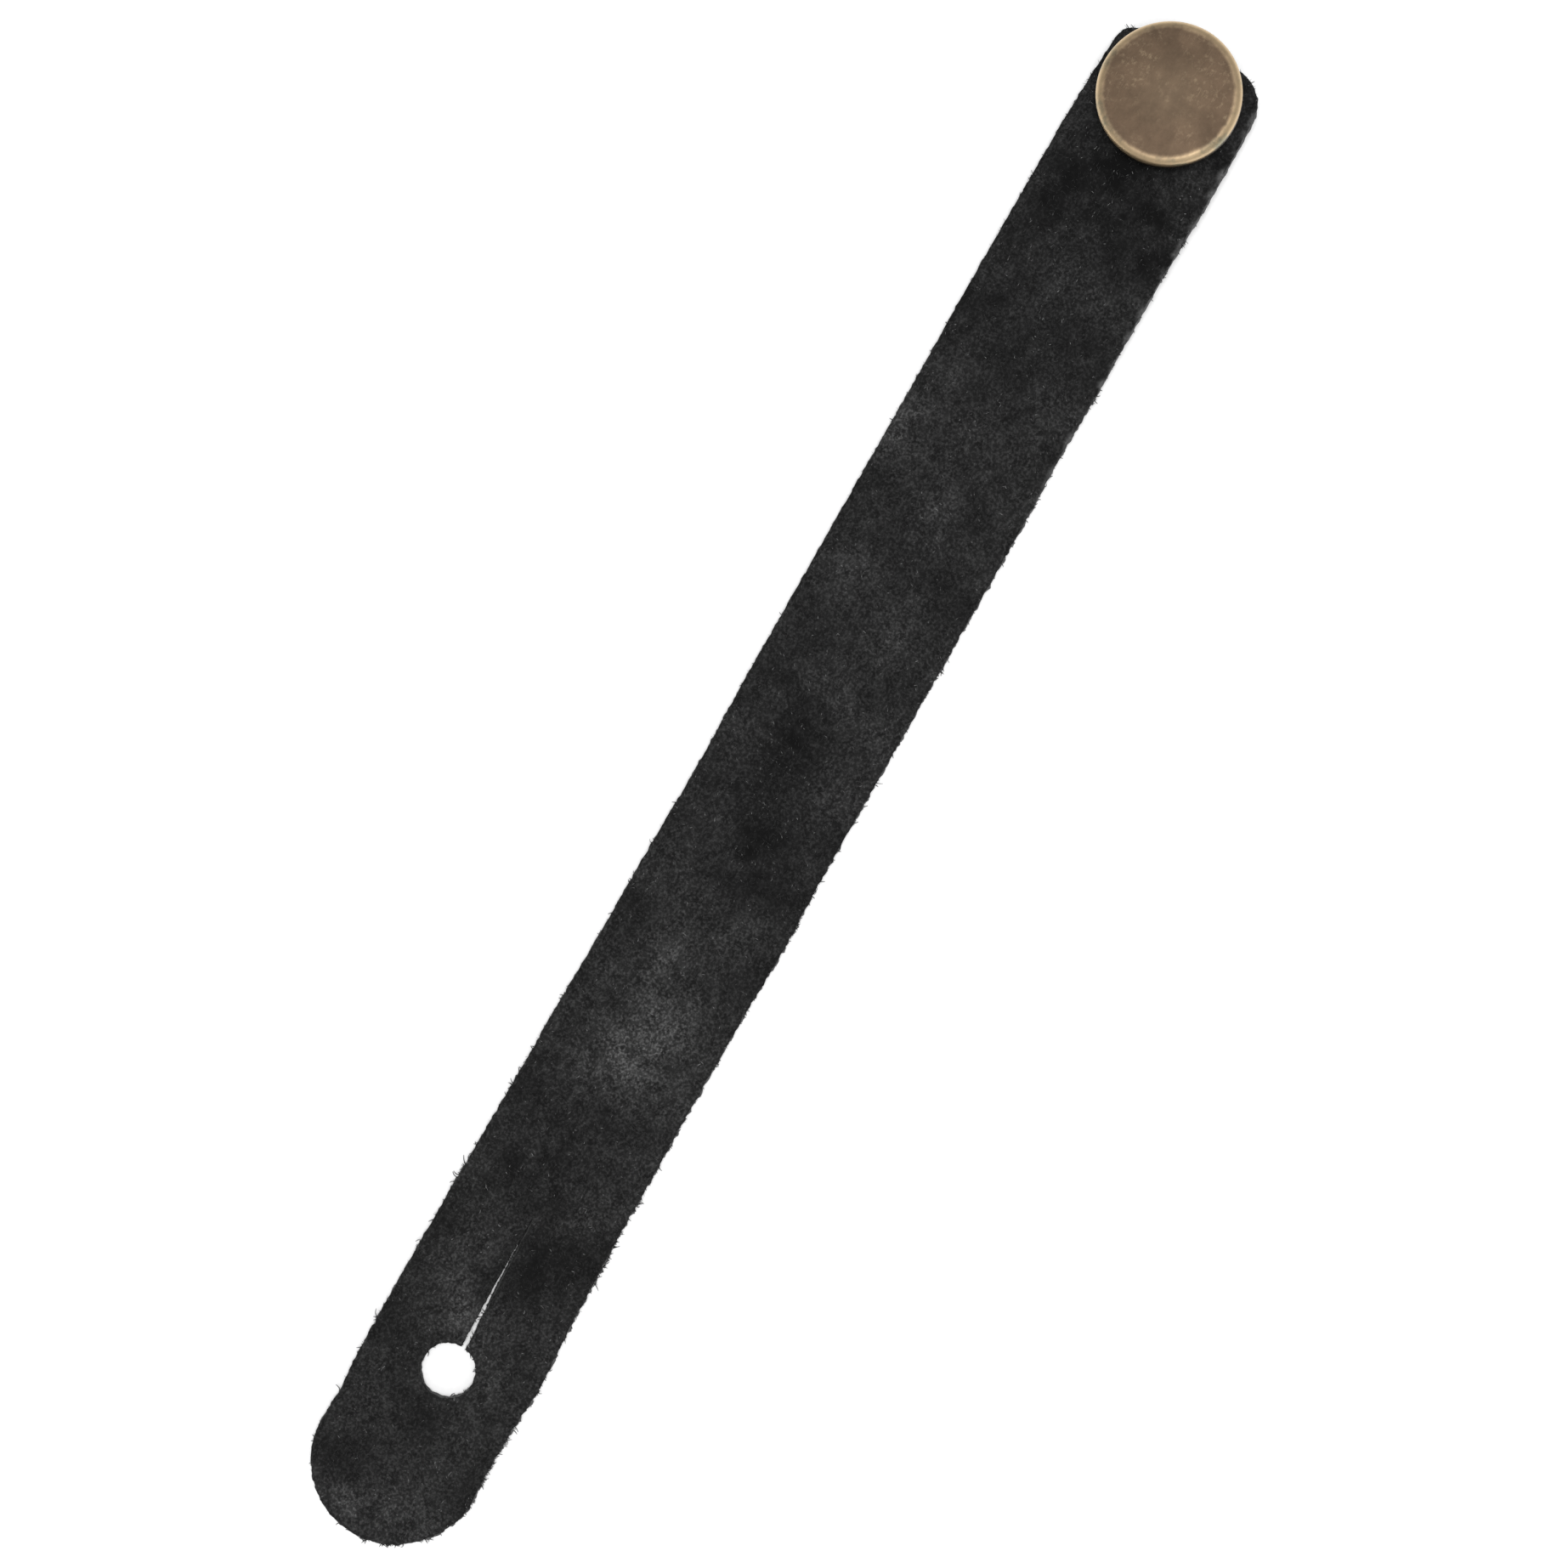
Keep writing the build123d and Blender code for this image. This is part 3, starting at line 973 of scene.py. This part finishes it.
# ------------------------------------------------------------------ the strap, parted at its seams
suede = buffed_suede()
fibre_look = loose_fibres()

shell = strap_shell()
raise_nap(shell)
strands = fibres_by_part(shell)

for i, bend in enumerate(bends):
    low, high = part_ends[i], part_ends[i + 1]
    piece = finished_object(f"strap_suede_{i + 1}", part_of_shell(shell, low, high), suede)
    fuzz = fibre_object(f"strap_fibres_{i + 1}", strands[i], fibre_look)
    for thing in (piece, fuzz):
        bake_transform(thing)
    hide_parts(*[n for n in bodies[bend["child"]] if n.startswith("strap")])
    if bend is bends[-1]:
        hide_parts("strap_button_end")
shell.free()

# ------------------------------------------------------------------ the button and its tack
brass = antique_brass()
looks = {
    "button_cap": brass,
    "button_base_ring": brass,
    "button_insert": moulded_plastic(),
    "button_neck": brass,
    "tack_nail": headed_aluminium(),
    "tack_cap": brass,
}
for node, material in looks.items():
    data = frame["nodes"][node].data
    data.materials.clear()
    data.materials.append(material)


# ------------------------------------------------------------------ floor, light and camera
def softbox(name, place, size, power):
    """A large soft area light at a place in millimetres, turned to the middle of the strap."""
    light = bpy.data.lights.new(name, "AREA")
    light.shape = "SQUARE"
    light.size = size * MM
    light.energy = power
    lamp = bpy.data.objects.new(name, light)
    lamp.location = place * MM
    lamp.rotation_euler = place.to_track_quat("Z", "Y").to_euler()
    bpy.context.scene.collection.objects.link(lamp)


floor_mesh = bmesh.new()
bmesh.ops.create_grid(floor_mesh, x_segments=1, y_segments=1, size=FLOOR_HALF)
bmesh.ops.translate(floor_mesh, verts=floor_mesh.verts, vec=-FLOOR_GAP * UP)
floor = finished_object("floor", floor_mesh, floor_paper())

world = bpy.data.worlds.new("soft_room")
world.use_nodes = True
background = world.node_tree.nodes["Background"]
background.inputs["Color"].default_value = linear("#FFFFFF")
background.inputs["Strength"].default_value = WORLD_STRENGTH
bpy.context.scene.world = world

softbox("overhead_softbox", OVERHEAD_PLACE, OVERHEAD_SIZE, OVERHEAD_POWER)
softbox("side_softbox", SIDE_PLACE, SIDE_SIZE, SIDE_POWER)

lens = bpy.data.cameras.new("camera")
lens.sensor_width = SENSOR
lens.lens = SENSOR * CAMERA_HEIGHT / FRAME_WIDTH
lens.clip_start = NEAREST * MM
lens.clip_end = FARTHEST * MM
camera = bpy.data.objects.new("camera", lens)
camera.location = Vector((CAMERA_X, CAMERA_Y, CAMERA_HEIGHT + thickness)) * MM
camera.rotation_euler = (0, 0, math.radians(CAMERA_TURN))
bpy.context.scene.collection.objects.link(camera)
bpy.context.scene.camera = camera
bpy.context.scene.view_settings.view_transform = "Standard"
